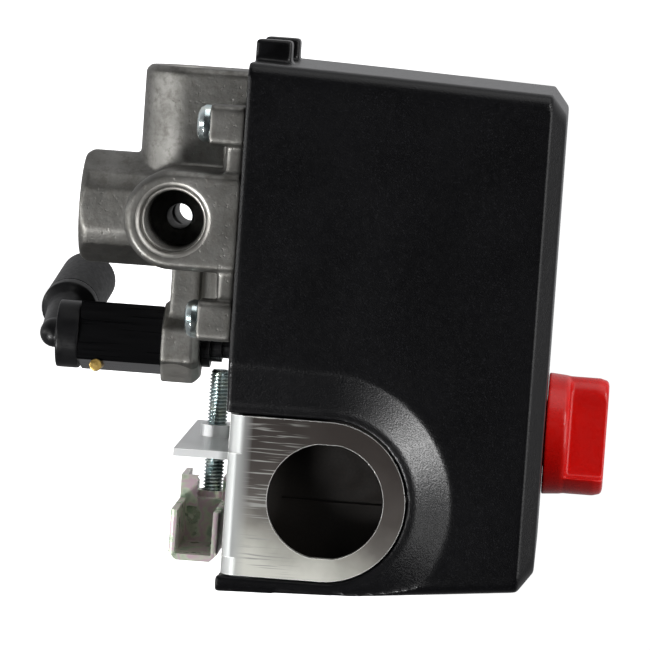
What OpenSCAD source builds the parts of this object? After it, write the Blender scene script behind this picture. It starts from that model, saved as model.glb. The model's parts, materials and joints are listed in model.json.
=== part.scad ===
// Pressure switch with four threaded ports, an unloader valve and an auto/off knob.
// The origin is the centre of the tank port's mouth. +Z runs up the tank port to the knob,
// +X runs towards the cable entries. Millimetres.

/* [Manifold] */
// Radius of the pipe thread bores at the pitch line
port_r = 6.24; // [5.5:0.02:6.6]
// Depth of the pipe threads
port_depth = 14; // [10:0.5:16]
// Height of the side ports' axes
port_z = 20; // [19:0.5:21]
// Distance from the tank port's axis to the front and back mouths
port_reach = 28.5; // [27:0.5:30]
// Radius of the port bosses
boss_r = 9.5; // [9:0.1:10]
// Size across the flats of the tank boss
hex_af = 20.6; // [19:0.2:22]
// Half the spacing of the flange screws along X
screw_x = 18.6; // [18:0.2:19]
// Half the spacing of the flange screws along Y
screw_y = 25; // [24.5:0.1:25.5]

/* [Base plate] */
// Thickness of the base plate's sheet
sheet = 1.5; // [1:0.1:1.6]
// Outer face of the cable ears, from the middle plane
ear_y = 28.5; // [28:0.1:29]
// Middle of the cable ears along X
ear_x = 51.4; // [50:0.2:52]
// Height of the cable holes' axis
ear_z = 52.5; // [51:0.5:54]
// Radius of the ears' round ends
ear_r = 15.3; // [14.5:0.1:15.4]
// Radius of the cable holes
cable_r = 11.1; // [9:0.1:11.2]
// Half the distance between the flats of the cable holes
cable_flat = 10.88; // [10.88:0.02:11.2]

/* [Cover] */
// Height of the cover's top face
cover_top = 93; // [92:0.5:96]
// Half the depth of the cover at its rim
cover_y = 32; // [31.5:0.1:32.5]
// Thickness of the cover's walls
wall = 2.5; // [2:0.1:2.6]
// Depth of the bevel round the cover's top
bevel_h = 3; // [2:0.5:4]
// Inward run of the bevel round the cover's top
bevel_in = 3.7; // [3:0.1:4]

/* [Knob] */
// Middle of the knob along X
knob_x = 38; // [37:0.5:39]
// Radius of the knob's skirt
knob_r = 11.9; // [11:0.1:12.5]
// Height of the knob's top face
knob_top = 105; // [103:0.5:107]

/* [Unloader] */
// Axis of the unloader valve along X
unl_x = 25.5; // [25.4:0.1:25.7]
// Side of the unloader body
unl_side = 11.6; // [11.4:0.1:11.8]
// Turn of the unloader body about its axis
unl_turn = -14.5; // [-20:0.5:-10]
// Heading of the elbow's outlet, from +X towards +Y
elbow_heading = 106; // [95:1:115]
// Rise of the elbow's outlet above the level
elbow_rise = 5; // [3:0.5:8]

/* [Hidden] */
$fn = 64;
eps = 0.05;
gap = 0.05;
flange_z = 28.3;
flange_top = 32.4;
plate_z = 33.3;
plate_top = plate_z + sheet;
rim_z = 32.6;
ledge_z = 25.8;
m4 = 2;
m3 = 1.5;
cover_x0 = -31;
cover_x1 = 70;
opening_x1 = 63.3;
jaw_x = 43.4;
clamp_z = 28.9;
pivot = [-20, 42];
pivot_r = 2;
rivet_x = [-21, 7];
rivet_y = 17.5;
rivet_r = 1.6;
lever_low = 45.5;
lever_top = lever_low + sheet;
dome_r = 2.5;
piston_guide_r = 11.5;
bridge_z = 80.5;
cover_screw_x = -14;
deck_z = 62;
pole_y = 7.5;
contact_x = [37, 57];
terminal_y = 13.3;
carrier_x = [44.5, 49.5];
off_pivot = [30, 44];
foot_x = 27;
foot_y = 13.2;
foot_z = 37.5;
earth = [28.5, 21.5];
off_y = 5.2;
crank_r = 7;
crank_low = 76;
off_top = 77.6;
crank_disc_z = 79.5;
unl_low = 1.2;
unl_high = 17.4;
neck_r = 3.4;
stem_r = 1.5;
spigot_r = 4.6;
spigot_top = 8.5;
corner_z = -4.2;
cup_top_x = 55.3;
pin_x = 30.6;
pin_z = 5;

// Points of an arc about a centre, from angle a0 to a1
function arc(c, r, a0, a1, n = 12) =
    [for (i = [0:n]) let (a = a0 + (a1 - a0) * i / n) c + r * [cos(a), sin(a)]];

// Outline of a rounded rectangle
function round_rect(x0, x1, y0, y1, r, n = 6) = concat(
    arc([x1 - r, y1 - r], r, 0, 90, n), arc([x0 + r, y1 - r], r, 90, 180, n),
    arc([x0 + r, y0 + r], r, 180, 270, n), arc([x1 - r, y0 + r], r, 270, 360, n));

// A block between two corners
module block(low, high) translate(low) cube(high - low);

// A plate lying flat, with rounded corners
module slab(x0, x1, y0, y1, z0, z1, r)
    translate([0, 0, z0]) linear_extrude(z1 - z0) polygon(round_rect(x0, x1, y0, y1, r));

// A rod between two heights
module rod(x, y, z0, z1, r) translate([x, y, z0]) cylinder(h = z1 - z0, r = r);

// A rod along X or Y
module rod_x(x0, x1, y, z, r) translate([x0, y, z]) rotate([0, 90, 0]) cylinder(h = x1 - x0, r = r);
module rod_y(y0, y1, x, z, r) translate([x, y1, z]) rotate([90, 0, 0]) cylinder(h = y1 - y0, r = r);

// An outline in X and Z, given a thickness along Y
module upright(y0, y1) translate([0, y1, 0]) rotate([90, 0, 0]) linear_extrude(y1 - y0) children();

// An outline in Y and Z, given a length along X
module along_x(x0, x1)
    translate([x0, 0, 0]) rotate([90, 0, 90]) linear_extrude(x1 - x0) children();

// Both sides of the middle plane
module both_sides() {
    children();
    mirror([0, 1, 0]) children();
}

// A coil spring as a closed tube that follows a helix
module coil(x, y, z0, z1, mean_r, wire_r, turns, steps = 20, sides = 8) {
    n = turns * steps;
    rise = (z1 - z0 - 2 * wire_r) / n;
    points = [for (i = [0:n], j = [0:sides - 1])
        let (a = 360 * i / steps, b = 360 * j / sides, r = mean_r + wire_r * cos(b))
        [x + r * cos(a), y + r * sin(a), z0 + wire_r + rise * i + wire_r * sin(b)]];
    faces = concat([[for (j = [0:sides - 1]) j]],
        [for (i = [0:n - 1], j = [0:sides - 1])
            let (k = (j + 1) % sides) [i * sides + j, (i + 1) * sides + j, (i + 1) * sides + k, i * sides + k]],
        [[for (j = [sides - 1:-1:0]) n * sides + j]]);
    polyhedron(points, faces, convexity = 10);
}

// A cross recess cut into a screw head, open towards +Z
module cross_recess(width, depth)
    for (a = [0, 90]) rotate([0, 0, a])
        translate([-width / 2, -width / 8, -depth]) cube([width, width / 4, depth + eps]);

// A pan-head screw with its head on top of z = 0 and its shank below
module pan_screw(shank_r, length, head_r, head_h) {
    rod(0, 0, -length, eps, shank_r);
    difference() {
        union() {
            cylinder(h = head_h * 0.45, r = head_r);
            translate([0, 0, head_h * 0.45]) cylinder(h = head_h * 0.35, r1 = head_r, r2 = head_r * 0.86);
            translate([0, 0, head_h * 0.8]) cylinder(h = head_h * 0.2, r1 = head_r * 0.86, r2 = head_r * 0.6);
        }
        translate([0, 0, head_h]) cross_recess(head_r * 1.1, head_h * 0.6);
    }
}

// One ported bar of the casting: round below, straight-sided up to the flange
module port_bar(length) {
    edge = 1;
    rotate([-90, 0, 0]) {
        cylinder(h = length - edge, r = boss_r);
        translate([0, 0, length - edge]) cylinder(h = edge, r1 = boss_r, r2 = boss_r - edge);
    }
    linear_extrude(flange_top - port_z)
        polygon([[-boss_r, 0], [boss_r, 0], [boss_r, length - edge], [boss_r - edge, length],
            [edge - boss_r, length], [-boss_r, length - edge]]);
}

// A countersunk pipe thread bore from a mouth at z = 0 downwards
module pipe_bore() {
    flare = 0.7;
    translate([0, 0, -port_depth]) cylinder(h = port_depth + 1, r = port_r);
    translate([0, 0, -flare]) cylinder(h = flare + eps, r1 = port_r, r2 = port_r + flare + eps);
}

module manifold() {
    hex_h = 22;
    hex_r = 11.05;
    passage_r = 2.45;
    bevel = 1.3;
    collar_low = unl_high;
    color("darkgray") difference() {
        union() {
            intersection() {
                cylinder(h = hex_h, r = hex_af / 2 / cos(30), $fn = 6);
                union() {
                    cylinder(h = bevel, r1 = hex_r - bevel * 0.7, r2 = hex_r);
                    rod(0, 0, bevel, hex_h, hex_r);
                }
            }
            for (a = [0, 90, 180]) rotate([0, 0, a]) translate([0, 0, port_z]) port_bar(port_reach);
            rod(0, 0, flange_z, flange_top, 22.4);
            for (x = [-screw_x, screw_x], y = [-screw_y, screw_y])
                slab(x - 3.85, x + 3.85, y - 3.85, y + 3.85, ledge_z, flange_top, 1.2);
            slab(-21.5, 21.5, -27.6, 27.6, flange_z + 1, flange_top, 3);
            block([8.5, -6, 18.5], [unl_x, 6, 24.2]);
            block([8.5, -4.5, 20], [unl_x - 5.2, 4.5, flange_z + 1]);
            translate([unl_x, 0, collar_low]) rotate([0, 0, 22.5]) {
                cylinder(h = 6.3, r = 8.4, $fn = 8);
                translate([0, 0, 6.3]) cylinder(h = 1.2, r1 = 8.4, r2 = 7.3, $fn = 8);
            }
        }
        rod(0, 0, -1, port_depth, port_r);
        for (a = [0, 90, 180]) rotate([0, 0, a])
            translate([0, port_reach, port_z]) rotate([-90, 0, 0]) pipe_bore();
        rod(0, 0, port_depth - eps, flange_top - 2, passage_r);
        rod_y(-port_reach, port_reach, 0, port_z, passage_r);
        rod_x(-port_reach, 0, 0, port_z, passage_r);
        rod(0, 0, flange_top - 1.6, flange_top + 1, 17);
        for (x = [-screw_x, screw_x], y = [-screw_y, screw_y]) rod(x, y, 20, 40, m4 + 0.2);
        rod(unl_x, 0, collar_low - 1, 40, neck_r + gap);
    }
}

module flange_screws()
    color("lightsteelblue") for (x = [-screw_x, screw_x], y = [-screw_y, screw_y])
        translate([x, y, ledge_z]) mirror([0, 0, 1]) pan_screw(m4, plate_top + 1.2 - ledge_z, 3.65, 2.5);

module diaphragm() {
    sheet_t = plate_z - flange_top;
    color("dimgray") difference() {
        slab(-21.5, 21.5, -27.5, 27.5, flange_top, plate_z, 3);
        for (x = [-screw_x, screw_x], y = [-screw_y, screw_y]) rod(x, y, 20, 40, 3);
        rod(0, 0, flange_top - 1, flange_top + sheet_t * 0.3, 16.8);
    }
}

module piston() {
    color("whitesmoke") {
        rod(0, 0, plate_z + gap, plate_top + 2.2, piston_guide_r - gap);
        rod(0, 0, plate_top + 2.2, lever_low - gap - 5, 5);
        translate([0, 0, lever_low - gap - 5]) sphere(5);
    }
}

// Cross-section of an ear and its bend, with an outer bend radius of r
module ear_section(r, cut_y) {
    inner = max(r - sheet, 0.3);
    centre = [ear_y - r, plate_z + r];
    polygon(concat([[cut_y, plate_z]], arc(centre, r, -90, 0, 8), [[ear_y, ear_z + ear_r + 1]],
        [[ear_y - sheet, ear_z + ear_r + 1]], arc(centre, inner, 0, -90, 8), [[cut_y, plate_top]]));
}

module base_plate() {
    mid_x = [jaw_x, opening_x1];
    plate_y = 26;
    collar_r = 3.2;
    jaw_y = 27;
    color("silver") difference() {
        union() {
            difference() {
                slab(-28, 67, -plate_y, plate_y, plate_z, plate_top, 3);
                slab(mid_x[0] + sheet, mid_x[1], -plate_y - 5, plate_y + 5, 0, 40, 0.5);
            }
            both_sides() intersection() {
                union() {
                    along_x(ear_x - ear_r, mid_x[0]) ear_section(3.2, 20);
                    difference() {
                        along_x(mid_x[0], mid_x[1]) ear_section(2.1, 20);
                        block([mid_x[0] - 1, 0, 0], [mid_x[1] + 1, jaw_y, 40]);
                    }
                    along_x(mid_x[1], ear_x + ear_r) ear_section(3.2, 20);
                }
                upright(0, ear_y + 1) polygon(concat([[ear_x + ear_r, 0]],
                    arc([ear_x, ear_z], ear_r, 0, 180, 36), [[ear_x - ear_r, 0]]));
            }
            block([jaw_x, -jaw_y, 22.9], [jaw_x + sheet, jaw_y, plate_top]);
            rod_x(jaw_x - 2.3, jaw_x + sheet, 0, clamp_z, collar_r);
        }
        both_sides() intersection() {
            rod_y(20, 40, ear_x, ear_z, cable_r);
            block([ear_x - cable_flat, 19, 30], [ear_x + cable_flat, 41, 80]);
        }
        rod_x(30, 60, 0, clamp_z, m4 + gap);
        rod(0, 0, 30, 40, piston_guide_r);
        rod(unl_x, 0, 30, 40, 3.2);
        for (x = [-screw_x, screw_x], y = [-screw_y, screw_y]) rod(x, y, 30, 40, m4 + gap);
        for (y = [-rivet_y, rivet_y], x = rivet_x) rod(x, y, 30, 40, rivet_r + gap);
        for (y = [-foot_y, foot_y]) rod(foot_x, y, 30, 40, m3 + gap);
        rod(earth[0], earth[1], 30, 40, m4 + gap);
    }
}

module bracket() {
    cheek_y = 13;
    color("silver") difference() {
        union() {
            both_sides() {
                upright(cheek_y, cheek_y + sheet)
                    polygon([[-25, plate_top], [11, plate_top], [11, 44], [7, bridge_z + sheet],
                        [-19, bridge_z + sheet], [-25, 50]]);
                slab(-24, 10, cheek_y, 21, plate_top, plate_top + sheet, 0.6);
            }
            block([-19, -cheek_y - eps, bridge_z], [7, cheek_y + eps, bridge_z + sheet]);
        }
        rod_y(-20, 20, pivot[0], pivot[1], pivot_r + gap);
        rod(0, 0, 70, 90, 3 + gap);
        rod(cover_screw_x, 0, 70, 90, m4 + gap);
        for (y = [-rivet_y, rivet_y], x = rivet_x) rod(x, y, 30, 40, rivet_r + gap);
        both_sides() rod_y(0, 20, -4, 60, 5);
    }
}

module bracket_rivets()
    color("gainsboro") for (y = [-rivet_y, rivet_y], x = rivet_x) translate([x, y, 0]) {
        rod(0, 0, plate_z, plate_top + sheet + eps, rivet_r);
        translate([0, 0, plate_top + sheet]) cylinder(h = 1.2, r1 = 2.6, r2 = 1.7);
    }

module main_lever() {
    color("lightgray") difference() {
        union() {
            slab(-24, 16, -9, 9, lever_low, lever_top, 1);
            slab(14, 50, -4, 4, lever_low, lever_top, 1);
            both_sides() upright(7.5, 9)
                polygon([[-24, 40], [-22, 38.5], [-17, 38.5], [-12, lever_low + eps], [-24, lever_low + eps]]);
        }
        rod_y(-12, 12, pivot[0], pivot[1], pivot_r + gap);
    }
}

module pivot_pin()
    color("gainsboro") {
        rod_y(-15.6, 15, pivot[0], pivot[1], pivot_r);
        rod_y(14.55, 15.8, pivot[0], pivot[1], 3);
    }

module spring_cup()
    color("gray") difference() {
        rod(0, 0, lever_top, 50, 11);
        rod(0, 0, lever_top + 0.8, 51, 10);
    }

module range_spring() color("slategray") coil(0, 0, 49, 72, 8, 1.1, 6);

module spring_seat()
    color("gray") {
        rod(0, 0, 72 + gap, 74, 10);
        difference() {
            rod(0, 0, 73.9, 77, 5.5);
            rod(0, 0, 75, 78, 3 + gap);
        }
        rod(0, 0, 68, 72.1, 6.4);
    }

module adjusting_screw()
    color("goldenrod") difference() {
        union() {
            rod(0, 0, 75.1, 86, 3);
            rod(0, 0, 85, 89, 5.5 / cos(30), $fn = 6);
        }
        translate([-6.5, -0.6, 88]) cube([13, 1.2, 2]);
    }

module contact_block() {
    x0 = 29.5;
    x1 = 65;
    side_y = 16;
    fence_y = 9.95;
    fence = 0.75;
    post = 1.2;
    lever_ear = [27, 33];
    seam_x = 52.2;
    color("#2b2622") difference() {
        union() {
            block([x0, -side_y, plate_top], [42.5, side_y, 41]);
            block([x0, -side_y, 40], [x1, side_y, deck_z]);
            both_sides() {
                block([31, fence_y, deck_z - eps], [x1, fence_y + fence, deck_z + 8]);
                for (x = [42.5, 50.5]) block([x, fence_y, deck_z - eps], [x + post, side_y, deck_z + 6.5]);
                for (x = [x0, x1 - 3.5]) block([x, side_y - post, deck_z - eps], [x + 3.5, side_y, deck_z + 4]);
                block([x0, side_y - eps, 40], [x1, side_y + 1, deck_z + 1.6]);
                block([24.2, 10.4, plate_top], [x0 + eps, side_y, foot_z]);
            }
            block([60.5, -fence_y - fence, deck_z - eps], [60.5 + post, fence_y + fence, deck_z + 9]);
            block([lever_ear[0], 7, plate_top], [lever_ear[1], 10, 48]);
        }
        block([20, -6, 39.2], [52, off_y + 1.8, deck_z + 9]);
        rod_y(0, 20, off_pivot[0], off_pivot[1], m3 + gap);
        for (x = contact_x) {
            for (y = [-terminal_y, terminal_y]) rod(x, y, deck_z - 7, deck_z + 9, m3 + gap);
            block([x - 3 - gap, -side_y, deck_z], [x + 3 + gap, side_y, deck_z + 0.85]);
        }
        both_sides() block([seam_x, side_y + 0.5, 43.5], [seam_x + 0.5, side_y + 2, deck_z + 2]);
        for (y = [-foot_y, foot_y]) rod(foot_x, y, 30, foot_z + 1, m3 + gap);
    }
}

module block_screws()
    color("lightsteelblue") for (y = [-foot_y, foot_y])
        translate([foot_x, y, foot_z]) pan_screw(m3, foot_z - plate_z, 2.3, 2);

module fixed_contacts()
    color("goldenrod") both_sides() for (x = contact_x) {
        difference() {
            block([x - 3, 5.6, deck_z], [x + 3, 15.6, deck_z + 0.8]);
            rod(x, terminal_y, deck_z - 1, deck_z + 2, m3 + gap);
        }
        rod(x, pole_y, deck_z + 0.7, deck_z + 1.4, 1.8);
    }

module terminal_clamps()
    color("silver") both_sides() for (x = contact_x) difference() {
        block([x - 2.6, 10.75, deck_z + 0.85], [x + 2.6, 15.85, deck_z + 2]);
        rod(x, terminal_y, deck_z, deck_z + 3, m3 + gap);
    }

module terminal_screws()
    color("silver") for (x = contact_x, y = [-terminal_y, terminal_y])
        translate([x, y, deck_z + 2]) pan_screw(m3, 7.5, 2.6, 2.2);

module contact_carrier() {
    low = deck_z + 0.1;
    top = deck_z + 10;
    half_y = 9.8;
    stem_y = 3.8;
    foot_r = 1.5;
    color("ivory") {
        block([carrier_x[0], -half_y, low], [carrier_x[1], half_y, deck_z + 2]);
        block([carrier_x[0], -stem_y, lever_top + gap + foot_r], [carrier_x[1], stem_y, top]);
        block([carrier_x[0], -half_y, top - 2], [carrier_x[1], half_y, top]);
        rod_y(-stem_y, stem_y, 46, lever_top + gap + foot_r, foot_r);
    }
}

module contact_bridges()
    color("goldenrod") both_sides() {
        slab(34.6, 59.4, 5.2, 9.8, deck_z + 2.05, deck_z + 3.05, 0.8);
        for (x = contact_x) rod(x, pole_y, deck_z + 1.45, deck_z + 2.1, 1.8);
    }

module contact_springs()
    color("silver") for (y = [-pole_y + 0.3, pole_y - 0.3])
        coil(47, y, deck_z + 3.1, deck_z + 7.95, 1.7, 0.3, 5, 12, 6);

module off_lever()
    color("silver") difference() {
        union() {
            upright(off_y, off_y + sheet) polygon(concat(arc(off_pivot, 3.2, 120, 270, 8),
                [[40, 40.2], [40, 42], [34, 43.5], [33, 50], [33, 69], [39.4, 74], [39.4, off_top],
                    [36.9, off_top], [36.9, 75.4], [28.5, 68.5]]));
            block([38, -3.5, 40.2], [40, off_y + eps, 42]);
            block([37.9, 3.6, 76.2], [39.4, off_y + sheet, off_top]);
        }
        rod_y(-1, 12, off_pivot[0], off_pivot[1], m3 + gap);
    }

module off_lever_pin()
    color("gainsboro") {
        rod_y(4.2, 10.4, off_pivot[0], off_pivot[1], m3);
        rod_y(4.3, 5.1, off_pivot[0], off_pivot[1], 2.4);
    }

module earth_screw()
    color("seagreen") translate([earth[0], earth[1], plate_top]) pan_screw(m4, sheet, 3.8, 2.6);

module clamp_strap() {
    t = 1.2;
    z0 = 23.1;
    z1 = 32.5;
    outer_x = 64.9;
    leg_x = 55.3;
    strap_y = 26;
    ear_y1 = 6;
    ear_x0 = 50.8;
    cup_y = 5.2;
    tooth = 0.7;
    head_gap = 3.7;
    color("silver") difference() {
        union() {
            difference() {
                along_x(leg_x, outer_x) polygon(round_rect(-strap_y, strap_y, z0, z1, 0.8));
                block([leg_x - 1, -strap_y - 1, z0 + t], [outer_x - t, strap_y + 1, z1 - t]);
                for (z = [z0, z1]) translate([outer_x, -strap_y - 1, z]) rotate([0, 45, 0])
                    translate([-1, 0, -1]) cube([2, 2 * strap_y + 2, 2]);
            }
            for (z = [z0, z1 - t]) block([ear_x0, -ear_y1, z], [leg_x + eps, ear_y1, z + t]);
            block([ear_x0, -ear_y1, z0 + t - eps], [leg_x + 1.5, -ear_y1 + t, z0 + t + 2.2]);
            block([cup_top_x, -cup_y, z0 + t - eps], [outer_x - t + eps, cup_y, z1 - t + eps]);
            rod_x(cup_top_x - 1.2, cup_top_x + eps, 0, clamp_z, 3);
        }
        block([cup_top_x + t, -cup_y + t, z0 + t], [outer_x + 1, cup_y - t, z1 - t]);
        block([cup_top_x + t, -head_gap, clamp_z], [cup_top_x + t + 3, head_gap, z1 + 1]);
        rod_x(50, 70, 0, clamp_z, m4 + 0.25);
        for (y = [-strap_y + 1:1.4:strap_y - 1], z = [z0, z1 - t])
            if (abs(y) > ear_y1) translate([leg_x, y, z - eps]) rotate([0, 0, 45])
                translate([-tooth / 2, -tooth / 2, 0]) cube([tooth, tooth, t + 2 * eps]);
        for (x = [ear_x0 + 0.4:0.8:leg_x]) translate([x, -ear_y1 - eps, z0 + t + 2.2]) rotate([0, 45, 0])
            translate([-0.2, 0, -0.2]) cube([0.4, t + 2 * eps, 0.4]);
    }
}

module clamp_screw()
    color("lightsteelblue") {
        tip_x = 30.3;
        tip = 1.1;
        seat_x = cup_top_x + 1.2 + gap;
        translate([seat_x, 0, clamp_z]) rotate([0, 90, 0]) pan_screw(m4, seat_x - tip_x - tip, 3.4, 2.7);
        translate([tip_x, 0, clamp_z]) rotate([0, 90, 0]) cylinder(h = tip + 0.05, r1 = 1.1, r2 = m4);
    }

// Levels of the cover's outside: height, low X, high X, half-depth
function cover_levels(inset, lift) = [
    [rim_z - lift, cover_x0 + inset, cover_x1 - inset, cover_y - inset],
    [58, cover_x0 + 0.9 + inset, cover_x1 - 0.9 - inset, cover_y - 0.3 - inset],
    [cover_top - bevel_h - (inset > 0 ? 1.6 : 0), cover_x0 + 2.2 + inset, cover_x1 - 4.1 - inset,
        cover_y - 0.8 - inset],
    [cover_top - inset, cover_x0 + 2.2 + bevel_in + inset * 0.6, cover_x1 - 4.1 - bevel_in - inset * 0.6,
        cover_y - 0.8 - bevel_in - inset * 0.6]];

module cover_form(inset, lift) {
    corner_r = 3 - inset / 2;
    hull() for (level = cover_levels(inset, lift), x = [level[1] + corner_r, level[2] - corner_r],
            y = [-level[3] + corner_r, level[3] - corner_r])
        translate([x, y, level[0] - 0.01]) cylinder(h = 0.01, r = corner_r, $fn = 32);
}

// The scoop round an ear: a flat floor at floor_y and a conical rise, open towards the rim
module scoop(floor_r, floor_y, drop) {
    reach = 6;
    hull() for (z = [ear_z, drop])
        translate([ear_x, -floor_y, z]) rotate([90, 0, 0])
            cylinder(h = reach, r1 = floor_r, r2 = floor_r + reach * 2.3, $fn = 64);
}

module cover() {
    notch_r = ear_r + 0.35;
    knob_bore = 6 + gap;
    color("#141416") difference() {
        union() {
            difference() {
                cover_form(0, 0);
                both_sides() scoop(17.3, ear_y, 10);
                difference() {
                    cover_form(wall, 1);
                    both_sides() scoop(17.3 + wall * 0.7, ear_y - wall, 10);
                }
                both_sides() upright(20, 40) polygon(concat([[ear_x + notch_r, 20]],
                    arc([ear_x, ear_z], notch_r, 0, 180, 36), [[ear_x - notch_r, 20]]));
            }
            rod(knob_x, 0, 84, cover_top - 1, 9);
            rod(cover_screw_x, 0, 82.4, cover_top - 1, 6.2);
            for (y = [-12, 12]) block([cover_x0 - 4.1, y - 3, rim_z], [cover_x0 + 1.2, y + 3, rim_z + 6.9]);
        }
        rod(knob_x, 0, 80, 100, knob_bore);
        rod(cover_screw_x, 0, 80, 100, m4 + 0.3);
        rod(cover_screw_x, 0, 87, 100, 4.4);
    }
}

module cover_screw()
    color("lightsteelblue") translate([cover_screw_x, 0, 87]) pan_screw(m4, 10, 3.9, 2.7);

// Outline of the knob's grip from above: a bar with one round end and a wide heel
module grip_outline(r) {
    bar = 4;
    heel = 7.6;
    intersection() {
        circle(r);
        union() {
            translate([bar - r, 0]) circle(bar);
            translate([bar - r, -bar]) square([2 * r, 2 * bar]);
            translate([heel, -r]) square(2 * r);
        }
    }
}

module knob() {
    skirt_top = 97.6;
    grip_low_r = 11.5;
    grip_top_r = 11;
    edge = 1.6;
    steps = 4;
    color("red") translate([knob_x, 0, 0]) {
        translate([0, 0, cover_top + 0.15])
            cylinder(h = skirt_top - 0.6 - cover_top - 0.15, r1 = knob_r, r2 = knob_r - 0.3);
        translate([0, 0, skirt_top - 0.6 - eps])
            cylinder(h = 0.6 + eps, r1 = knob_r - 0.3, r2 = knob_r - 0.9);
        translate([0, 0, skirt_top - eps])
            linear_extrude(knob_top - edge - skirt_top + eps) grip_outline(grip_low_r);
        for (i = [0:steps - 1]) let (a = 90 * i / steps, b = 90 * (i + 1) / steps)
            translate([0, 0, knob_top - edge + edge * sin(a) - eps])
                linear_extrude(edge * (sin(b) - sin(a)) + eps)
                    grip_outline(grip_top_r + 0.3 - edge * (1 - cos(a)));
        rod(0, 0, 82, cover_top + 0.2, 6);
    }
}

module knob_retainer() {
    start = 45;
    color("ivory") translate([knob_x, 0, 0]) difference() {
        union() {
            rod(0, 0, crank_disc_z, 83.7, 9);
            rod(crank_r * cos(start), crank_r * sin(start), crank_low, crank_disc_z + eps, 2);
        }
        rod(0, 0, 82, 90, 6);
    }
}

module unloader_body()
    color("#101012") difference() {
        union() {
            translate([unl_x, 0, 0]) rotate([0, 0, unl_turn])
                block([-unl_side / 2, -unl_side / 2, unl_low], [unl_side / 2, unl_side / 2, unl_high]);
            rod(unl_x, 0, unl_high - eps, 29, neck_r);
            rod(unl_x, 0, 28.9, 34.6, 2.6);
        }
        rod(unl_x, 0, 0, spigot_top + 0.1, spigot_r + gap);
        rod(unl_x, 0, 5, 16.8, 3.2);
        rod(unl_x, 0, 10, 40, stem_r + gap);
        rod_y(-10, 10, pin_x, pin_z, 1.2 + 0.02);
    }

module unloader_nut()
    color("#18181a") difference() {
        rod(unl_x, 0, 25.05, 26.8, 4.6);
        rod(unl_x, 0, 20, 30, neck_r + gap);
    }

module unloader_plunger()
    color("goldenrod") {
        rod(unl_x, 0, 12.6, 14.2, 2.7);
        difference() {
            rod(unl_x, 0, 12.6, lever_low - gap - dome_r, stem_r);
            rod(unl_x, 0, 14.25, 14.95, 5);
        }
        rod(unl_x, 0, 12.6, 16, 1.1);
        intersection() {
            translate([unl_x, 0, lever_low - gap - dome_r]) sphere(dome_r);
            rod(unl_x, 0, 42, 50, stem_r + 0.9);
        }
    }

module plunger_seal()
    color("black") translate([unl_x, 0, 14.6]) rotate_extrude() translate([1.5, 0]) circle(0.34, $fn = 24);

module unloader_spring() color("silver") coil(unl_x, 0, 8.75, 12.55, 2.2, 0.3, 4, 14, 6);

// Runs its children along the elbow's outlet
module outlet()
    translate([unl_x, 0, corner_z]) rotate([0, 0, elbow_heading]) rotate([0, 90 - elbow_rise, 0]) children();

module elbow() {
    cap_r = 6.6;
    cap_low = -3.4;
    nub_r = 2.9;
    neck_end_r = 4.3;
    ring = [13.4, 15.9];
    ring_r = 5.7;
    tube_r = 1.7;
    color("#121214") difference() {
        union() {
            rod(unl_x, 0, cap_low, unl_low - gap, cap_r);
            difference() {
                union() {
                    translate([unl_x, 0, corner_z]) sphere(nub_r);
                    outlet() {
                        cylinder(h = ring[0], r1 = nub_r - 0.2, r2 = neck_end_r);
                        translate([0, 0, ring[0] - 1.6]) cylinder(h = 1.65, r1 = neck_end_r - 0.2, r2 = ring_r - 0.3);
                        translate([0, 0, ring[0]]) cylinder(h = ring[1] - ring[0], r = ring_r);
                    }
                }
                rod(unl_x, 0, unl_low - 0.5, 20, 8.7);
            }
            rod(unl_x, 0, unl_low - 1, spigot_top, spigot_r);
        }
        difference() {
            rod(unl_x, 0, 3.7, 6.3, 6);
            rod(unl_x, 0, 3, 6.8, 3.6);
        }
        difference() {
            rod(unl_x, 0, 6.9, 7.9, 6);
            rod(unl_x, 0, 6.8, 8, 3.62);
        }
        rod(unl_x, 0, corner_z, 12, tube_r + 0.3);
        outlet() cylinder(h = 20, r = tube_r);
    }
}

module elbow_seal()
    color("black") translate([unl_x, 0, 7.4]) rotate_extrude() translate([4.13, 0]) circle(0.46, $fn = 24);

module elbow_pin() color("goldenrod") rod_y(-7.6, 4.9, pin_x, pin_z, 1.2);

module elbow_sleeve()
    color("#4b4c50") outlet() difference() {
        union() {
            translate([0, 0, 15.95]) cylinder(h = 15.6, r = 5.65);
            translate([0, 0, 31.5]) cylinder(h = 1.3, r1 = 5.65, r2 = 5.1);
            translate([0, 0, 32.75]) cylinder(h = 1.1, r1 = 5.1, r2 = 4);
        }
        translate([0, 0, 13]) cylinder(h = 30, r = 3.05);
    }

manifold();
flange_screws();
diaphragm();
piston();
base_plate();
bracket();
bracket_rivets();
main_lever();
pivot_pin();
spring_cup();
range_spring();
spring_seat();
adjusting_screw();
contact_block();
block_screws();
fixed_contacts();
terminal_clamps();
terminal_screws();
contact_carrier();
contact_bridges();
contact_springs();
off_lever();
off_lever_pin();
earth_screw();
clamp_strap();
clamp_screw();
cover();
cover_screw();
knob();
knob_retainer();
unloader_body();
unloader_nut();
unloader_plunger();
plunger_seal();
unloader_spring();
elbow();
elbow_seal();
elbow_pin();
elbow_sleeve();
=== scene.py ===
"""Looks of a compressor pressure switch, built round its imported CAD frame. Metres; +Z runs up to the knob."""
import json
import math

import bmesh
import bpy
from mathutils import Matrix, Vector

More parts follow.
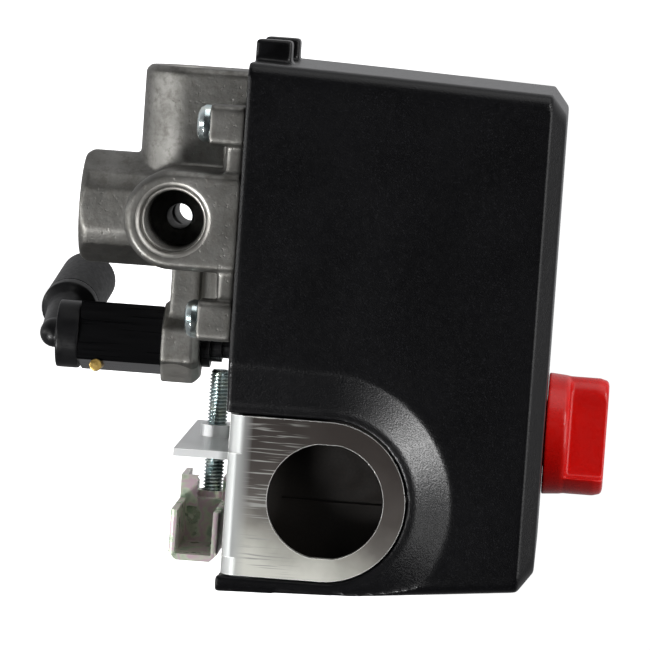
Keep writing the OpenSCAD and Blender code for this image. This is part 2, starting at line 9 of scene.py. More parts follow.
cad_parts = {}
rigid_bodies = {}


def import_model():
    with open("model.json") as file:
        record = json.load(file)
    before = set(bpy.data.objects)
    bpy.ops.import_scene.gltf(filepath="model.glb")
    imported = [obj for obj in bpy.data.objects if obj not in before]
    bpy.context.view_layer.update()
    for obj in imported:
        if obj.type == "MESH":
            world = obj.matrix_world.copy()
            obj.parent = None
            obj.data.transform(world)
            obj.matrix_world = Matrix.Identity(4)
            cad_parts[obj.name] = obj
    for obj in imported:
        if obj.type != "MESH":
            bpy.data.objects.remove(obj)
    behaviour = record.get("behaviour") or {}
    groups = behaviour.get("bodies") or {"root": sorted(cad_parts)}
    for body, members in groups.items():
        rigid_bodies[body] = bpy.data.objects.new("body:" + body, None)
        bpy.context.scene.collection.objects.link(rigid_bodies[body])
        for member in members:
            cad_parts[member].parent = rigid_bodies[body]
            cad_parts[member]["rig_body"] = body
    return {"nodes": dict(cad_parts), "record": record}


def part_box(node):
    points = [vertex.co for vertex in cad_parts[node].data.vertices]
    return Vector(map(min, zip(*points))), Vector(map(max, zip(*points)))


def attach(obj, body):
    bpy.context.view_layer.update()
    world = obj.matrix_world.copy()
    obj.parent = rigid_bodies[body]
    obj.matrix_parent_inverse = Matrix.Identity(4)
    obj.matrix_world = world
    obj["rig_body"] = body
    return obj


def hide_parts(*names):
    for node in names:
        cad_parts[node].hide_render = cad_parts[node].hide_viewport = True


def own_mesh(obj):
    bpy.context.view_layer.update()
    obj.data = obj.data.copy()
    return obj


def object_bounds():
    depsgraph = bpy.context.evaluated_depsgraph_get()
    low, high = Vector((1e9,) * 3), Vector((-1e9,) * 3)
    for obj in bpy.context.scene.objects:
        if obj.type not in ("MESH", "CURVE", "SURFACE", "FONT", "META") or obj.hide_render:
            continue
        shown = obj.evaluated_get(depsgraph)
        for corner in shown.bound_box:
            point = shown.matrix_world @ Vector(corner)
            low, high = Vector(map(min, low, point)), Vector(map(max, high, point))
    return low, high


MM = 0.001
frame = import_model()
cad_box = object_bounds()
nodes = frame["nodes"]


# ---------------------------------------------------------------- materials

class Graph:
    """A material's node tree, with short calls for the nodes this scene uses."""

    def __init__(self, name):
        self.material = bpy.data.materials.new(name)
        self.material.use_nodes = True
        self.tree = self.material.node_tree
        self.shader = self.tree.nodes["Principled BSDF"]
        self.place = self.add("ShaderNodeTexCoord").outputs["Object"]

    def add(self, kind, **settings):
        node = self.tree.nodes.new(kind)
        for key, value in settings.items():
            setattr(node, key, value)
        return node

    def join(self, source, target):
        self.tree.links.new(source, target)

    def set(self, **inputs):
        for key, value in inputs.items():
            self.shader.inputs[key.replace("_", " ")].default_value = value

    def stretch(self, scale):
        """Object coordinates scaled by a different amount on each axis, for brushed or drawn marks."""
        mapping = self.add("ShaderNodeMapping")
        mapping.inputs["Scale"].default_value = scale
        self.join(self.place, mapping.inputs["Vector"])
        return mapping.outputs["Vector"]

    def noise(self, size, detail=3.0, rough=0.5, place=None):
        """Noise whose features are about size metres across."""
        node = self.add("ShaderNodeTexNoise")
        node.inputs["Scale"].default_value = 1.0 / size
        node.inputs["Detail"].default_value = detail
        node.inputs["Roughness"].default_value = rough
        self.join(place or self.place, node.inputs["Vector"])
        return node.outputs["Fac"]

    def ramp(self, value, stops):
        """A colour ramp; stops are (position, colour)."""
        node = self.add("ShaderNodeValToRGB")
        elements = node.color_ramp.elements
        while len(elements) < len(stops):
            elements.new(0.5)
        for element, (position, colour) in zip(elements, stops):
            element.position = position
            element.color = (*colour, 1) if len(colour) == 3 else colour
        self.join(value, node.inputs["Fac"])
        return node.outputs["Color"]

    def grey_ramp(self, value, low, high, v_low=0.0, v_high=1.0):
        return self.ramp(value, [(low, (v_low,) * 3), (high, (v_high,) * 3)])

    def mix(self, factor, first, second):
        node = self.add("ShaderNodeMix", data_type="RGBA")
        for socket, value in (("Factor", factor), ("A", first), ("B", second)):
            target = [i for i in node.inputs if i.name == socket and i.enabled][0]
            if isinstance(value, (int, float)):
                target.default_value = value
            elif isinstance(value, tuple):
                target.default_value = (*value, 1)
            else:
                self.join(value, target)
        return [o for o in node.outputs if o.enabled][0]

    def maths(self, operation, first, second=0.0):
        node = self.add("ShaderNodeMath", operation=operation)
        for target, value in zip(node.inputs, (first, second)):
            if isinstance(value, (int, float)):
                target.default_value = value
            else:
                self.join(value, target)
        return node.outputs["Value"]

    def along(self, axis):
        """The object coordinate along one axis, in metres."""
        split = self.add("ShaderNodeSeparateXYZ")
        self.join(self.place, split.inputs["Vector"])
        return split.outputs[axis]

    def span(self, value, low, high):
        """0 at low, 1 at high, straight in between and held outside."""
        node = self.add("ShaderNodeMapRange")
        node.inputs["From Min"].default_value = low
        node.inputs["From Max"].default_value = high
        self.join(value, node.inputs["Value"])
        return node.outputs["Result"]

    def inside_bore(self, across, centre, radius, along, beyond):
        """1 within a radius of an axis given by two coordinates, where the third is past a distance."""
        squares = []
        for axis, middle in zip(across, centre):
            offset = self.maths("ABSOLUTE", self.maths("SUBTRACT", self.along(axis), middle))
            squares.append(self.maths("POWER", offset, 2))
        near = self.maths("LESS_THAN", self.maths("ADD", *squares), radius ** 2)
        deep = self.maths("GREATER_THAN", self.maths("ABSOLUTE", self.along(along)), beyond)
        return self.maths("MULTIPLY", near, deep)

    def edges(self, radius, low=0.03, high=0.25):
        """1 on sharp edges, 0 on flat faces, from a rounded normal against the true one."""
        rounded = self.add("ShaderNodeBevel", samples=4)
        rounded.inputs["Radius"].default_value = radius
        true = self.add("ShaderNodeNewGeometry")
        dot = self.add("ShaderNodeVectorMath", operation="DOT_PRODUCT")
        self.join(rounded.outputs["Normal"], dot.inputs[0])
        self.join(true.outputs["Normal"], dot.inputs[1])
        bend = self.maths("SUBTRACT", 1.0, dot.outputs["Value"])
        return self.grey_ramp(bend, low, high)

    def colour(self, socket):
        self.join(socket, self.shader.inputs["Base Color"])

    def rough(self, value, low, high):
        """Roughness that varies between low and high."""
        self.join(self.grey_ramp(value, 0.3, 0.7, low, high), self.shader.inputs["Roughness"])

    def bump(self, *layers):
        """Stacks height layers, each (height, depth in metres)."""
        normal = None
        for height, depth in layers:
            node = self.add("ShaderNodeBump")
            node.inputs["Distance"].default_value = depth
            self.join(height, node.inputs["Height"])
            if normal is not None:
                self.join(normal, node.inputs["Normal"])
            normal = node.outputs["Normal"]
        self.join(normal, self.shader.inputs["Normal"])


def cast_alloy():
    """Tumbled die-casting: warm grey, mottled, with brighter rubbed edges."""
    g = Graph("cast_alloy")
    g.set(Metallic=1.0)
    mottle = g.noise(7 * MM, 4, 0.6)
    grime = g.noise(1.8 * MM, 5, 0.7)
    base = g.ramp(mottle, [(0.3, (0.120, 0.118, 0.110)), (0.7, (0.215, 0.211, 0.200))])
    dirty = g.mix(g.grey_ramp(grime, 0.46, 0.66, 0.0, 0.6), base, (0.085, 0.08, 0.07))
    rubbed = g.mix(g.edges(0.5 * MM), dirty, (0.44, 0.43, 0.415))
    seat_r = 7.2 * MM
    mouth = 26.3 * MM
    port_z = frame["record"]["mounts"][1]["pos_m"][2]
    front = g.inside_bore("XZ", (0, port_z), seat_r, "Y", mouth)
    end = g.inside_bore("YZ", (0, port_z), seat_r, "X", mouth)
    g.colour(g.mix(g.maths("ADD", front, end), rubbed, (0.34, 0.33, 0.31)))
    g.rough(grime, 0.40, 0.54)
    pits = g.grey_ramp(g.noise(0.8 * MM, 2, 0.5), 0.28, 0.36)
    g.bump((mottle, 0.16 * MM), (g.noise(0.4 * MM, 3, 0.6), 0.02 * MM), (pits, 0.02 * MM))
    return g.material


def painted_hollow_shade(g, base, dark):
    """Paints shade into the hollows of a mesh, such as the roots of a thread."""
    pointed = g.add("ShaderNodeNewGeometry").outputs["Pointiness"]
    return g.mix(g.grey_ramp(pointed, 0.40, 0.52), dark, base)


def plain_zinc():
    """Evenly plated pressings inside the switch."""
    g = Graph("plain_zinc")
    g.set(Metallic=0.8)
    cloud = g.noise(5 * MM, 3, 0.55)
    base = g.ramp(cloud, [(0.3, (0.42, 0.42, 0.40)), (0.7, (0.60, 0.60, 0.57))])
    g.colour(g.mix(g.edges(0.25 * MM), base, (0.82, 0.82, 0.80)))
    g.rough(cloud, 0.30, 0.38)
    g.bump((cloud, 0.03 * MM))
    return g.material


def ear_zinc():
    """The base plate's zinc, with drawing scratches; a painted reflection runs from bright at the bend to dark
    brown towards the ears' tips.
    """
    g = Graph("ear_zinc")
    g.set(Metallic=0.6)
    cloud = g.noise(6 * MM, 3, 0.55)
    # Painted reflection: a slanting gradient, broken up by the cloud, from dark brown towards the ears' tips to
    # bright towards the bend.
    slant = g.maths("SUBTRACT", g.along("X"), g.maths("MULTIPLY", g.along("Z"), 0.25))
    wander = g.maths("ADD", slant, g.maths("MULTIPLY", cloud, 6 * MM))
    painted_reflection = g.ramp(g.span(wander, 29 * MM, 59 * MM),
                  [(0.05, (0.038, 0.032, 0.029)), (0.4, (0.070, 0.062, 0.057)), (0.6, (0.140, 0.131, 0.120)),
                   (0.75, (0.30, 0.295, 0.265)), (0.92, (0.54, 0.54, 0.49))])
    bend = g.span(g.along("Z"), 38 * MM, 35.5 * MM)
    jaw = g.span(g.along("Z"), 32.5 * MM, 31.5 * MM)
    toned = g.mix(jaw, g.mix(bend, painted_reflection, (0.36, 0.37, 0.365)), (0.66, 0.67, 0.67))
    line = g.noise(1.0, 2, 0.45, g.stretch((3200, 500, 90)))
    zone = g.maths("MULTIPLY", g.span(g.along("Z"), 36 * MM, 39 * MM), g.span(g.along("Z"), 49 * MM, 43 * MM))
    scratch = g.maths("MULTIPLY", g.grey_ramp(line, 0.57, 0.63), zone)
    marked = g.mix(scratch, toned, (0.30, 0.30, 0.285))
    g.colour(g.mix(g.edges(0.3 * MM), marked, (0.90, 0.91, 0.89)))
    g.rough(cloud, 0.32, 0.38)
    g.bump((cloud, 0.03 * MM))
    return g.material


def zinc_screws():
    """Blue-passivated zinc with faint green and yellow films."""
    g = Graph("zinc_screws")
    g.set(Metallic=1.0)
    film = g.noise(2.2 * MM, 3, 0.6)
    base = g.ramp(film, [(0.3, (0.42, 0.56, 0.56)), (0.5, (0.62, 0.70, 0.71)), (0.7, (0.70, 0.74, 0.66))])
    # Painted shade darkens the thread roots.
    g.colour(painted_hollow_shade(g, base, (0.05, 0.065, 0.065)))
    g.rough(film, 0.20, 0.26)
    g.bump((film, 0.01 * MM))
    return g.material


def zinc_strap():
    """Thick iridescent passivation: green, pink and straw patches over zinc."""
    g = Graph("zinc_strap")
    g.set(Metallic=0.75)
    film = g.noise(3.4 * MM, 2, 0.5)
    tones = g.ramp(film, [(0.30, (0.32, 0.44, 0.29)), (0.42, (0.66, 0.70, 0.58)), (0.50, (0.68, 0.50, 0.58)),
                          (0.58, (0.64, 0.69, 0.55)), (0.70, (0.34, 0.46, 0.34))])
    g.colour(g.mix(g.edges(0.25 * MM), tones, (0.74, 0.78, 0.68)))
    g.rough(film, 0.26, 0.33)
    g.bump((g.noise(1.6 * MM, 2), 0.03 * MM), (g.noise(0.5 * MM, 2), 0.006 * MM))
    return g.material


def cover_plastic():
    """Near-black moulded cover with a fine satin grain."""
    g = Graph("cover_plastic")
    shade = g.noise(14 * MM, 2, 0.5)
    lift = g.ramp(shade, [(0.35, (0.0010, 0.0010, 0.0013)), (0.65, (0.0018, 0.0018, 0.0022))])
    dust = g.grey_ramp(g.noise(0.30 * MM, 2, 0.6), 0.60, 0.70, 0.0, 0.45)
    g.colour(g.mix(dust, lift, (0.012, 0.012, 0.014)))
    g.rough(g.noise(1.2 * MM, 3), 0.29, 0.34)
    g.set(Specular_IOR_Level=0.22)
    g.bump((g.noise(0.34 * MM, 2, 0.5), 0.045 * MM))
    return g.material


def knob_plastic():
    """Glossy red moulding."""
    g = Graph("knob_plastic")
    shade = g.noise(9 * MM, 2, 0.5)
    g.colour(g.ramp(shade, [(0.3, (0.47, 0.0025, 0.0015)), (0.7, (0.54, 0.0045, 0.0025))]))
    g.rough(g.noise(1.5 * MM, 4, 0.6), 0.22, 0.34)
    g.set(Specular_IOR_Level=0.32)
    g.bump((g.noise(0.5 * MM, 3), 0.004 * MM), (shade, 0.02 * MM))
    return g.material


def black_anodised():
    """Black anodised aluminium with drawn lines along its length."""
    g = Graph("black_anodised")
    drawn = g.noise(1.0, 2, 0.5, g.stretch((2600, 2600, 60)))
    g.colour(g.ramp(drawn, [(0.3, (0.0012, 0.0012, 0.0014)), (0.8, (0.0030, 0.0030, 0.0034))]))
    g.rough(drawn, 0.26, 0.34)
    g.set(Specular_IOR_Level=0.18)
    g.bump((drawn, 0.0015 * MM))
    return g.material


def black_moulding():
    """Semi-gloss black plastic of the elbow."""
    g = Graph("black_moulding")
    shade = g.noise(3 * MM, 3)
    g.colour(g.ramp(shade, [(0.3, (0.0030, 0.0030, 0.0034)), (0.7, (0.0060, 0.0060, 0.0065))]))
    g.rough(g.noise(0.8 * MM, 4, 0.6), 0.30, 0.42)
    g.set(Specular_IOR_Level=0.17)
    g.bump((g.noise(0.6 * MM, 3), 0.010 * MM))
    return g.material


def grey_moulding():
    """Satin dark grey plastic of the release sleeve."""
    g = Graph("grey_moulding")
    shade = g.noise(4 * MM, 3)
    scuff = g.grey_ramp(g.noise(1.8 * MM, 5, 0.7), 0.66, 0.72, 0.0, 0.7)
    base = g.ramp(shade, [(0.3, (0.0030, 0.0031, 0.0034)), (0.7, (0.0065, 0.0066, 0.0072))])
    g.colour(g.mix(scuff, base, (0.010, 0.010, 0.011)))
    g.rough(g.noise(0.9 * MM, 4, 0.6), 0.38, 0.52)
    g.set(Specular_IOR_Level=0.18)
    g.bump((g.noise(0.4 * MM, 3), 0.012 * MM))
    return g.material


def turned_brass():
    """Turned brass, slightly tarnished."""
    g = Graph("turned_brass")
    g.set(Metallic=1.0)
    tarnish = g.noise(0.9 * MM, 4, 0.65)
    g.colour(g.ramp(tarnish, [(0.3, (0.48, 0.30, 0.07)), (0.7, (0.82, 0.58, 0.20))]))
    g.rough(tarnish, 0.24, 0.45)
    g.bump((tarnish, 0.02 * MM))
    return g.material


def contact_metal():
    g = Graph("contact_metal")
    g.set(Metallic=1.0)
    stain = g.noise(2.5 * MM, 4, 0.6)
    g.colour(g.ramp(stain, [(0.3, (0.62, 0.42, 0.20)), (0.7, (0.86, 0.68, 0.42))]))
    g.rough(stain, 0.18, 0.34)
    g.bump((g.noise(0.4 * MM, 3), 0.006 * MM))
    return g.material


def black_rubber():
    """Dull black rubber of the seals and the diaphragm."""
    g = Graph("black_rubber")
    shade = g.noise(2 * MM, 4, 0.6)
    g.colour(g.ramp(shade, [(0.3, (0.004, 0.004, 0.004)), (0.7, (0.009, 0.009, 0.009))]))
    g.rough(shade, 0.62, 0.80)
    g.bump((g.noise(0.3 * MM, 3), 0.03 * MM))
    return g.material


def phenolic():
    """Dark brown-black phenolic of the contact block."""
    g = Graph("phenolic")
    fleck = g.noise(0.5 * MM, 4, 0.7)
    g.colour(g.ramp(fleck, [(0.4, (0.0040, 0.0034, 0.0030)), (0.75, (0.0110, 0.0085, 0.0065))]))
    g.rough(g.noise(3 * MM, 3), 0.34, 0.46)
    g.set(Specular_IOR_Level=0.25)
    g.bump((fleck, 0.01 * MM))
    return g.material


def natural_acetal():
    """Off-white acetal of the piston, the contact carrier and the knob's retainer."""
    g = Graph("natural_acetal")
    shade = g.noise(5 * MM, 3)
    g.colour(g.ramp(shade, [(0.3, (0.66, 0.63, 0.56)), (0.7, (0.78, 0.76, 0.70))]))
    g.rough(g.noise(0.8 * MM, 3), 0.30, 0.44)
    g.set(Subsurface_Weight=0.15)
    g.bump((g.noise(0.5 * MM, 3), 0.01 * MM))
    return g.material


def spring_wire():
    """Oiled spring steel wire."""
    g = Graph("spring_wire")
    g.set(Metallic=1.0)
    oil = g.noise(3 * MM, 4, 0.6)
    g.colour(g.ramp(oil, [(0.3, (0.16, 0.16, 0.17)), (0.7, (0.40, 0.40, 0.42))]))
    g.rough(oil, 0.22, 0.40)
    g.bump((g.noise(0.4 * MM, 3), 0.01 * MM))
    return g.material


def green_coating():
    """Green coating of the earth screw, rubbed to metal at its edges."""
    g = Graph("green_coating")
    shade = g.noise(1.4 * MM, 4, 0.6)
    base = g.ramp(shade, [(0.3, (0.02, 0.20, 0.06)), (0.7, (0.04, 0.34, 0.12))])
    g.colour(g.mix(g.edges(0.2 * MM), base, (0.5, 0.5, 0.45)))
    g.rough(shade, 0.26, 0.42)
    g.bump((shade, 0.01 * MM))
    return g.material


FINISHES = {
    "cast_alloy": cast_alloy(), "zinc_steel": plain_zinc(), "zinc_screw": zinc_screws(),
    "strap_zinc": zinc_strap(), "black_cover": cover_plastic(), "red_knob": knob_plastic(),
    "black_metal": black_anodised(), "black_plastic": black_moulding(), "grey_plastic": grey_moulding(),
    "brass": turned_brass(), "contact_metal": contact_metal(), "rubber": black_rubber(),
    "phenolic": phenolic(), "acetal": natural_acetal(), "spring_steel": spring_wire(),
    "earth_green": green_coating(),
}
OWN_FINISH = {"base_plate": ear_zinc()}
SLOT_OF = {part["node"]: part["material_slot"] for part in frame["record"]["subparts"]}


def finish_with(obj, slot):
    """Gives obj the finish of one of the record's material slots."""
    obj.data.materials.clear()
    obj.data.materials.append(FINISHES[slot])


# ---------------------------------------------------------------- mesh helpers

def new_piece(name, mesh, slot, body, *stands_for):
    """Links a mesh as a piece that rides on a CAD body."""
    obj = bpy.data.objects.new(name, mesh)
    bpy.context.scene.collection.objects.link(obj)
    finish_with(obj, slot)
    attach(obj, body)
    if stands_for:
        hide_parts(*stands_for)
    return obj


def baked(obj):
    """A new mesh with obj's modifiers applied."""
    depsgraph = bpy.context.evaluated_depsgraph_get()
    return bpy.data.meshes.new_from_object(obj.evaluated_get(depsgraph))


def soften(node, voxel, passes):
    """Rounds a CAD node's edges and fills its inside corners as a casting or moulding has them."""
    source = nodes[node]
    work = bpy.data.objects.new("work", source.data.copy())
    bpy.context.scene.collection.objects.link(work)
    remesh = work.modifiers.new("remesh", "REMESH")
    remesh.mode = "VOXEL"
    remesh.voxel_size = voxel
    smooth = work.modifiers.new("smooth", "SMOOTH")
    smooth.factor = 0.5
    smooth.iterations = passes
    mesh = baked(work)
    bpy.data.objects.remove(work)
    mesh.polygons.foreach_set("use_smooth", [True] * len(mesh.polygons))
    new_piece(node + "_skin", mesh, SLOT_OF[node], source["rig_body"], node)


def round_edges(node, width):
    """Breaks a machined or pressed node's sharp edges with modifiers."""
    obj = nodes[node]
    weld = obj.modifiers.new("weld", "WELD")
    weld.merge_threshold = 1e-6
    flat = obj.modifiers.new("flat", "DECIMATE")
    flat.decimate_type = "DISSOLVE"
    flat.angle_limit = math.radians(0.6)
    bevel = obj.modifiers.new("bevel", "BEVEL")
    bevel.width = width
    bevel.segments = 2
    bevel.limit_method = "ANGLE"
    bevel.angle_limit = math.radians(28)
    bevel.use_clamp_overlap = True
    even = obj.modifiers.new("even", "WEIGHTED_NORMAL")
    even.weight = 100
    obj.data.polygons.foreach_set("use_smooth", [True] * len(obj.data.polygons))


# ---------------------------------------------------------------- stage

# The picture's view: where the camera looks from, which way its right-hand side points, its distance and lens.
VIEW = Vector((0.0841, 0.9951, -0.0528))
PICTURE_RIGHT = Vector((-0.0695, 0.0587, 0.9959))
VIEW_POINT = Vector((20.1, 0.0, 48.7)) * MM
VIEW_DISTANCE = 911 * MM
LENS = 258
ROOM_LIGHT = 0.65


def add_camera():
    """A long lens that sees the switch lying on its side, knob to the right."""
    data = bpy.data.cameras.new("camera")
    data.lens = LENS
    data.sensor_width = 36
    data.clip_start = 0.02
    data.clip_end = 20
    camera = bpy.data.objects.new("camera", data)
    bpy.context.scene.collection.objects.link(camera)
    back = -VIEW.normalized()
    right = (PICTURE_RIGHT - PICTURE_RIGHT.dot(back) * back).normalized()
    up = back.cross(right)
    turn = Matrix((right, up, back)).transposed().to_4x4()
    camera.matrix_world = Matrix.Translation(VIEW_POINT + back * VIEW_DISTANCE) @ turn
    bpy.context.scene.camera = camera


def soft_light(name, towards, distance, size, watts):
    """An area light that shines on the object from a direction."""
    data = bpy.data.lights.new(name, "AREA")
    data.shape = "RECTANGLE"
    data.size, data.size_y = size
    data.energy = watts
    light = bpy.data.objects.new(name, data)
    bpy.context.scene.collection.objects.link(light)
    direction = Vector(towards).normalized()
    light.location = VIEW_POINT + direction * distance
    light.rotation_euler = direction.to_track_quat("Z", "Y").to_euler()
    light.visible_camera = False


def add_world():
    """White to the camera; to everything else a bright room that is dark on the camera's side."""
    world = bpy.data.worlds.new("studio")
    bpy.context.scene.world = world
    world.use_nodes = True
    tree = world.node_tree
    tree.nodes.clear()
    output = tree.nodes.new("ShaderNodeOutputWorld")
    mix = tree.nodes.new("ShaderNodeMixShader")
    path = tree.nodes.new("ShaderNodeLightPath")
    white = tree.nodes.new("ShaderNodeBackground")
    white.inputs["Strength"].default_value = 1.3
    room = tree.nodes.new("ShaderNodeBackground")
    place = tree.nodes.new("ShaderNodeTexCoord")
    split = tree.nodes.new("ShaderNodeSeparateXYZ")
    depth = tree.nodes.new("ShaderNodeMapRange")
    depth.inputs["From Min"].default_value = -1
    depth.inputs["From Max"].default_value = 1
    shade = tree.nodes.new("ShaderNodeValToRGB")
    stops = [(0.0, 0.02), (0.22, 0.05), (0.38, 0.34), (0.6, 0.95)]
    while len(shade.color_ramp.elements) < len(stops):
        shade.color_ramp.elements.new(0.5)
    for element, (position, grey) in zip(shade.color_ramp.elements, stops):
        element.position = position
        element.color = (grey, grey, grey * 1.02, 1)
    fall = tree.nodes.new("ShaderNodeMapRange")
    fall.inputs["From Min"].default_value = 1
    fall.inputs["From Max"].default_value = -0.2
    fall.inputs["To Min"].default_value = 0.15
    dim = tree.nodes.new("ShaderNodeMath")
    dim.operation = "MULTIPLY"
    dim.inputs[1].default_value = ROOM_LIGHT
    tree.links.new(split.outputs["X"], fall.inputs["Value"])
    tree.links.new(fall.outputs["Result"], dim.inputs[0])
    tree.links.new(dim.outputs["Value"], room.inputs["Strength"])
    tree.links.new(place.outputs["Generated"], split.inputs["Vector"])
    tree.links.new(split.outputs["Y"], depth.inputs["Value"])
    tree.links.new(depth.outputs["Result"], shade.inputs["Fac"])
    tree.links.new(shade.outputs["Color"], room.inputs["Color"])
    tree.links.new(path.outputs["Is Camera Ray"], mix.inputs["Fac"])
    tree.links.new(room.outputs["Background"], mix.inputs[1])
    tree.links.new(white.outputs["Background"], mix.inputs[2])
    tree.links.new(mix.outputs["Shader"], output.inputs["Surface"])


def add_floor():
    """A pale floor just under the object, bright enough to read as a white sweep."""
    reach = 3.0
    z = cad_box[0][2] - 0.2 * MM
    mesh = bpy.data.meshes.new("floor")
    corners = [(-reach, -reach, z), (reach, -reach, z), (reach, reach, z), (-reach, reach, z)]
    mesh.from_pydata(corners, [], [(0, 1, 2, 3)])
    floor = bpy.data.objects.new("floor", mesh)
    bpy.context.scene.collection.objects.link(floor)
    g = Graph("pale_floor")
    g.colour(g.ramp(g.noise(0.4, 2), [(0.3, (0.90, 0.90, 0.90)), (0.7, (0.94, 0.94, 0.94))]))
    g.set(Roughness=0.9)
    g.shader.inputs["Emission Color"].default_value = (1, 1, 1, 1)
    path = g.add("ShaderNodeLightPath")
    g.join(path.outputs["Is Camera Ray"], g.shader.inputs["Emission Strength"])
    mesh.materials.append(g.material)
    floor.visible_glossy = False
    floor.visible_shadow = False


def add_stage():
    add_camera()
    add_world()
    add_floor()
    soft_light("left_strip", (0.0, -0.40, -0.92), 0.9, (0.14, 1.2), 4)
    soft_light("low_left", (0.50, -0.68, -0.54), 1.0, (0.26, 0.26), 13)
    soft_light("far_top", (-1.0, -0.25, 0.25), 1.1, (0.9, 0.9), 4)
    soft_light("right", (0.0, -0.45, 1.0), 1.1, (0.6, 0.9), 7)
    soft_light("upper_right", (-0.50, -0.62, 0.60), 1.1, (0.30, 0.30), 5)
    settings = bpy.context.scene.view_settings
    settings.view_transform = "Standard"
    settings.look = "None"


# ---------------------------------------------------------------- threads and springs

def grid_mesh(name, rows):
    """A skin over rings of points, with a face over each end."""
    mesh = bpy.data.meshes.new(name)
    width = len(rows[0])
    points = [p for row in rows for p in row]
    faces = []
    for i in range(len(rows) - 1):
        for j in range(width):
            k = (j + 1) % width
            faces.append((i * width + j, (i + 1) * width + j, (i + 1) * width + k, i * width + k))
    faces.append(tuple(range(width)))
    last = (len(rows) - 1) * width
    faces.append(tuple(last + width - 1 - j for j in range(width)))
    mesh.from_pydata(points, [], faces)
    mesh.polygons.foreach_set("use_smooth", [len(p.vertices) == 4 for p in mesh.polygons])
    mesh.validate()
    return mesh


def thread_height(turns):
    """Height of a 60 degree thread, 0 at its root and 1 at its crest, after a number of turns."""
    root_flat = 0.12
    flank = 0.72
    ramp = abs((turns % 1.0) - 0.5) * 2
    return min(max((ramp - root_flat) / flank, 0.0), 1.0)


def turned_to(axis, start):
    """A matrix that takes local +Z to axis and the local origin to start."""
    turn = Vector(axis).to_track_quat("Z", "Y").to_matrix().to_4x4()
    return Matrix.Translation(Vector(start)) @ turn


def outside_thread(length, major_r, minor_r, pitch, tip=0.0, per_turn=10, sides=48):
    """Rings along +Z of a threaded shank whose last stretch narrows to a chamfered tip."""
    rings = []
    tip_slope = 0.8
    count = int(length / pitch * per_turn)
    for i in range(count + 1):
        z = length * i / count
        limit = major_r if z < length - tip else major_r - (z - length + tip) * tip_slope
        ring = []
        for j in range(sides):
            share = j / sides
            r = minor_r + (major_r - minor_r) * thread_height(z / pitch - share)
            r = min(r, limit)
            angle = 2 * math.pi * share
            ring.append((r * math.cos(angle), r * math.sin(angle), z))
        rings.append(ring)
    return rings


def inside_thread(name, depth, root_r, crest_r, pitch, taper, per_turn=40):
    """The ridge of a tapered inside thread, winding down -Z from a mouth at z = 0."""
    turns = (depth - pitch) / pitch
    count = int(turns * per_turn)
    half_root = pitch * 0.36
    half_crest = pitch * 0.07
    lead_in = 0.4
    rows = []
    for i in range(count + 1):
        angle = 2 * math.pi * i / per_turn
        z = -pitch * (lead_in + i / per_turn)
        fade = min(1.0, i / (lead_in * per_turn), (count - i) / (lead_in * per_turn))
        crest = root_r + (crest_r + z * taper - root_r) * max(fade, 0.02)
        section = [(root_r, z + half_root), (crest, z + half_crest), (crest, z - half_crest),
                   (root_r, z - half_root), (root_r + 0.15 * MM, z)]
        rows.append([(r * math.cos(angle), r * math.sin(angle), h) for r, h in section])
    return grid_mesh(name, rows)


def add_port_threads():
    """Pipe thread ridges in each threaded port, placed from the record's mounts."""
    pitch = 25.4 / 18 * MM
    crest_depth = 0.56 * MM
    pipe_taper = 1 / 32
    for mount in frame["record"]["mounts"]:
        if mount["kind"] != "threaded_hole":
            continue
        wall_r = mount["dims"]["r_mm"] * MM
        mesh = inside_thread(mount["name"] + "_thread", mount["dims"]["length_mm"] * MM,
                             wall_r + 0.03 * MM, wall_r - crest_depth, pitch, pipe_taper)
        inset = 0.2 * MM if mount["pos_m"] == [0, 0, 0] else -0.3 * MM
        start = Vector(mount["pos_m"]) - Vector(mount["axis"]) * inset
        mesh.transform(turned_to(mount["axis"], start))
        new_piece(mount["name"] + "_thread", mesh, "cast_alloy", "frame")


def smooth_by_angle(mesh, degrees):
    """Smooth shading with sharp edges where faces meet at more than an angle."""
    mesh.polygons.foreach_set("use_smooth", [True] * len(mesh.polygons))
    mesh.set_sharp_from_angle(angle=math.radians(degrees))


def thread_screw(node, axis, seat, tip, major_r, pitch, chamfer):
    """Gives a CAD screw a real thread between seat and tip, keeping the CAD head."""
    source = nodes[node]
    axis = Vector(axis)
    head = bmesh.new()
    head.from_mesh(source.data)
    bmesh.ops.remove_doubles(head, verts=head.verts, dist=1e-6)
    shank = [f for f in head.faces if any((v.co - seat).dot(axis) > 0.3 * MM for v in f.verts)]
    bmesh.ops.delete(head, geom=shank, context="FACES")
    bmesh.ops.holes_fill(head, edges=[e for e in head.edges if e.is_boundary])
    length = (tip - seat).dot(axis)
    rings = outside_thread(length, major_r, major_r - 0.6 * pitch, pitch, chamfer)
    place = turned_to(axis, seat - axis * 0.01 * MM)
    loops = [[head.verts.new(place @ Vector(point)) for point in ring] for ring in rings]
    sides = len(loops[0])
    for low, high in zip(loops, loops[1:]):
        for j in range(sides):
            k = (j + 1) % sides
            head.faces.new((low[j], low[k], high[k], high[j]))
    head.faces.new(list(reversed(loops[0])))
    head.faces.new(loops[-1])
    bmesh.ops.recalc_face_normals(head, faces=head.faces)
    mesh = bpy.data.meshes.new(node + "_threaded")
    head.to_mesh(mesh)
    head.free()
    smooth_by_angle(mesh, 38)
    new_piece(node + "_threaded", mesh, SLOT_OF[node], source["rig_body"], node)


def add_screw_threads():
    """An M4 thread on the clamp screw, the only screw whose shank can be seen."""
    low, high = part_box("clamp_screw")
    head_h = 2.7 * MM
    major_r = 2.0 * MM
    pitch = 0.7 * MM
    chamfer = 0.8 * MM
    middle_y = (low.y + high.y) / 2
    middle_z = (low.z + high.z) / 2
    seat = Vector((high.x - head_h, middle_y, middle_z))
    tip = Vector((low.x, middle_y, middle_z))
    thread_screw("clamp_screw", (-1, 0, 0), seat, tip, major_r, pitch, chamfer)


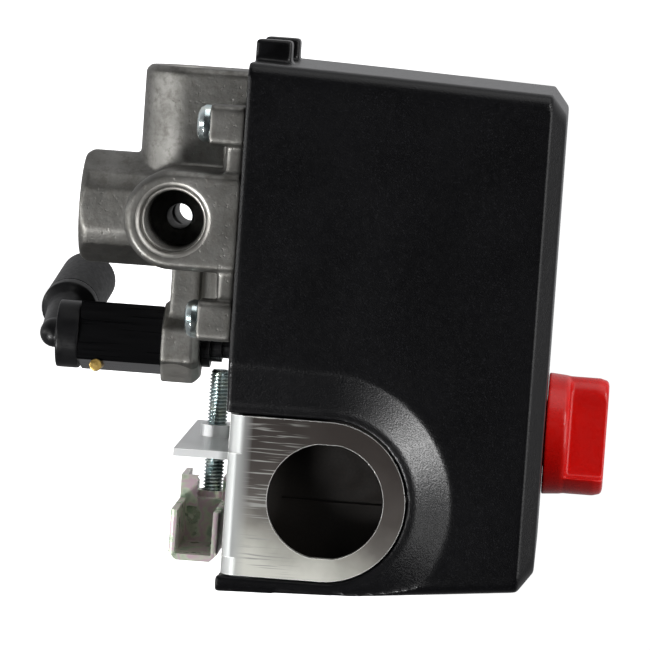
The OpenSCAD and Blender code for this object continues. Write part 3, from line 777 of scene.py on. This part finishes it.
def coil_mesh(name, centre, z0, z1, mean_r, wire_r, turns, steps=40, sides=14):
    """A compression spring with its end turns closed up and ground flat."""
    total = int(turns * steps)
    span = z1 - z0 - 2 * wire_r
    rows = []
    for i in range(total + 1):
        t = i / total
        closed = 0.75 / turns
        rise = min(max((t - closed) / (1 - 2 * closed), 0.0), 1.0)
        seat = 2 * wire_r * (min(t, closed) + max(t - 1 + closed, 0.0)) / closed * 0.5
        z = z0 + wire_r + seat + rise * (span - 2 * wire_r)
        angle = 2 * math.pi * turns * t
        ring = []
        for j in range(sides):
            b = 2 * math.pi * j / sides
            r = mean_r + wire_r * math.cos(b)
            height = min(max(z + wire_r * math.sin(b), z0), z1)
            ring.append((centre[0] + r * math.cos(angle), centre[1] + r * math.sin(angle), height))
        rows.append(ring)
    return grid_mesh(name, rows)


def add_springs():
    """The range spring as a real coil between the ends of the CAD spring."""
    low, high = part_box("range_spring")
    outer = (high.x - low.x) / 2
    wire = 1.1 * MM
    centre = ((low.x + high.x) / 2, (low.y + high.y) / 2)
    mesh = coil_mesh("range_coil", centre, low.z, high.z, outer - wire, wire, 7)
    spring = new_piece("range_coil", mesh, "spring_steel", "frame", "range_spring")
    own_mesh(spring)


# ---------------------------------------------------------------- the object

for name, obj in nodes.items():
    finish_with(obj, SLOT_OF[name])
    if name in OWN_FINISH:
        obj.data.materials[0] = OWN_FINISH[name]

soften("manifold", 0.36 * MM, 7)
soften("cover", 0.4 * MM, 8)
soften("knob", 0.28 * MM, 9)
soften("elbow", 0.22 * MM, 12)
SCREWS = ["flange_screws", "cover_screw", "block_screws", "terminal_screws", "earth_screw", "adjusting_screw"]
PRESSINGS = ["base_plate", "bracket", "main_lever", "off_lever", "clamp_strap"]
TURNED_OR_MOULDED = ["unloader_body", "unloader_nut", "elbow_sleeve", "contact_block", "contact_carrier",
                     "elbow_pin", "knob_retainer", "piston", "spring_seat", "spring_cup", "bracket_rivets",
                     "pivot_pin", "off_lever_pin", "terminal_clamps", "fixed_contacts", "contact_bridges"]
for group, width in ((SCREWS, 0.12 * MM), (PRESSINGS, 0.18 * MM), (TURNED_OR_MOULDED, 0.2 * MM)):
    for node in group:
        round_edges(node, width)
add_springs()
add_port_threads()
add_screw_threads()
add_stage()
